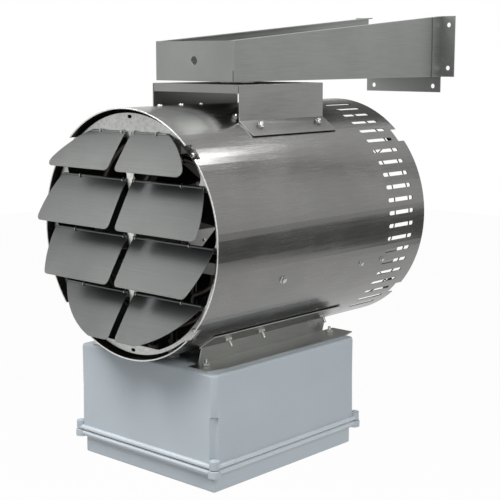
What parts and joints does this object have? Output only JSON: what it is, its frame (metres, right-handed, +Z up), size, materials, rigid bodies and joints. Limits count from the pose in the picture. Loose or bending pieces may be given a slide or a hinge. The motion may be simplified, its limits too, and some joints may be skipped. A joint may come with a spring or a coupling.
{
  "type": "fan heater",
  "caption": "Round steel fan heater with tilting louvers, air slots and a plastic control box below, swivelling under a tapered steel wall arm.",
  "frame": {"origin": "middle of the four wall bolt holes, on the wall face of the arm's angles", "axes": "+Y points into the wall, the heater hangs out along -Y and blows its air towards -Y, +Z is up and +X completes a right-handed frame"},
  "size_m": [0.406, 0.7906, 0.7615],
  "materials": {
    "arm_steel": "satin",
    "brushed_steel": "brushed",
    "louver_steel": "satin",
    "fastener_steel": "bright",
    "element_sheath": "dark oxidised",
    "inner_steel": "plain",
    "switchgear_plastic": "matt",
    "fan_aluminium": "plain",
    "motor_paint": "satin",
    "core_steel": "plain",
    "black_rubber": "matt",
    "box_plastic": "fine texture",
    "lug_brass": "plain",
    "hub_metal": "zinc grey"
  },
  "bodies": {
    "wall_arm": {"arm_channel": "arm_steel", "wall_angle_right": "arm_steel", "wall_angle_left": "arm_steel", "pivot_bolt": "fastener_steel", "pivot_washers": "fastener_steel", "pivot_nut": "fastener_steel"},
    "heater": {"saddle": "brushed_steel", "saddle_bolts": "fastener_steel", "saddle_nuts": "fastener_steel", "shell": "brushed_steel", "louver_frame": "louver_steel", "tongue_screws": "fastener_steel", "element_front": "element_sheath", "element_middle": "element_sheath", "element_back": "element_sheath", "element_hangers": "inner_steel", "element_crossbar": "inner_steel", "element_bushings": "switchgear_plastic", "shell_screws": "fastener_steel", "limit_thermostat": "switchgear_plastic", "fan_guard": "inner_steel", "motor_can": "motor_paint", "motor_end_bells": "motor_paint", "motor_stator": "core_steel", "motor_bearings": "fastener_steel", "motor_rubbers": "black_rubber", "motor_cradle": "inner_steel", "motor_platform": "inner_steel", "cradle_right": "brushed_steel", "cradle_left": "brushed_steel", "cradle_bolts": "fastener_steel", "cradle_nuts": "fastener_steel", "box_base": "box_plastic", "box_gasket": "black_rubber", "switch_plate": "inner_steel", "plate_screws": "fastener_steel", "contactors": "switchgear_plastic", "transformer": "core_steel", "terminal_block": "switchgear_plastic", "ground_lug": "lug_brass", "supply_hub": "hub_metal", "hub_locknut": "hub_metal"},
    "fan_rotor": {"fan": "fan_aluminium", "fan_setscrew": "fastener_steel", "motor_shaft": "fastener_steel", "motor_rotor": "core_steel"},
    "cover": {"box_cover": "box_plastic", "cover_screws": "fastener_steel"},
    "body_louver_1_right": {"louver_1_right": "louver_steel"},
    "body_louver_1_left": {"louver_1_left": "louver_steel"},
    "body_louver_2_right": {"louver_2_right": "louver_steel"},
    "body_louver_2_left": {"louver_2_left": "louver_steel"},
    "body_louver_3_right": {"louver_3_right": "louver_steel"},
    "body_louver_3_left": {"louver_3_left": "louver_steel"},
    "body_louver_4_right": {"louver_4_right": "louver_steel"},
    "body_louver_4_left": {"louver_4_left": "louver_steel"}
  },
  "joints": [
    {"name": "swivel", "type": "hinge", "parent": "wall_arm", "child": "heater", "pos_m": [0, -0.49, -0.064], "axis": [0, 0, 1], "range_deg": [-90, 90]},
    {"name": "fan_spin", "type": "hinge", "parent": "heater", "child": "fan_rotor", "pos_m": [0, -0.49, -0.3], "axis": [0, 1, 0], "continuous": true},
    {"name": "cover_off", "type": "slide", "parent": "heater", "child": "cover", "axis": [0, 0, -1], "range_m": [0, 0.12]},
    {"name": "louver_1_right_tilt", "type": "hinge", "parent": "heater", "child": "body_louver_1_right", "pos_m": [0, -0.74385, -0.1365], "axis": [-1, 0, 0], "range_deg": [-34, 50]},
    {"name": "louver_1_left_tilt", "type": "hinge", "parent": "heater", "child": "body_louver_1_left", "pos_m": [0, -0.74385, -0.1365], "axis": [-1, 0, 0], "range_deg": [-34, 50]},
    {"name": "louver_2_right_tilt", "type": "hinge", "parent": "heater", "child": "body_louver_2_right", "pos_m": [0, -0.74385, -0.212], "axis": [-1, 0, 0], "range_deg": [-28, 50]},
    {"name": "louver_2_left_tilt", "type": "hinge", "parent": "heater", "child": "body_louver_2_left", "pos_m": [0, -0.74385, -0.212], "axis": [-1, 0, 0], "range_deg": [-28, 50]},
    {"name": "louver_3_right_tilt", "type": "hinge", "parent": "heater", "child": "body_louver_3_right", "pos_m": [0, -0.74385, -0.303], "axis": [-1, 0, 0], "range_deg": [-31, 50]},
    {"name": "louver_3_left_tilt", "type": "hinge", "parent": "heater", "child": "body_louver_3_left", "pos_m": [0, -0.74385, -0.303], "axis": [-1, 0, 0], "range_deg": [-31, 50]},
    {"name": "louver_4_right_tilt", "type": "hinge", "parent": "heater", "child": "body_louver_4_right", "pos_m": [0, -0.74385, -0.394], "axis": [-1, 0, 0], "range_deg": [-32, 50]},
    {"name": "louver_4_left_tilt", "type": "hinge", "parent": "heater", "child": "body_louver_4_left", "pos_m": [0, -0.74385, -0.394], "axis": [-1, 0, 0], "range_deg": [-32, 50]}
  ]
}
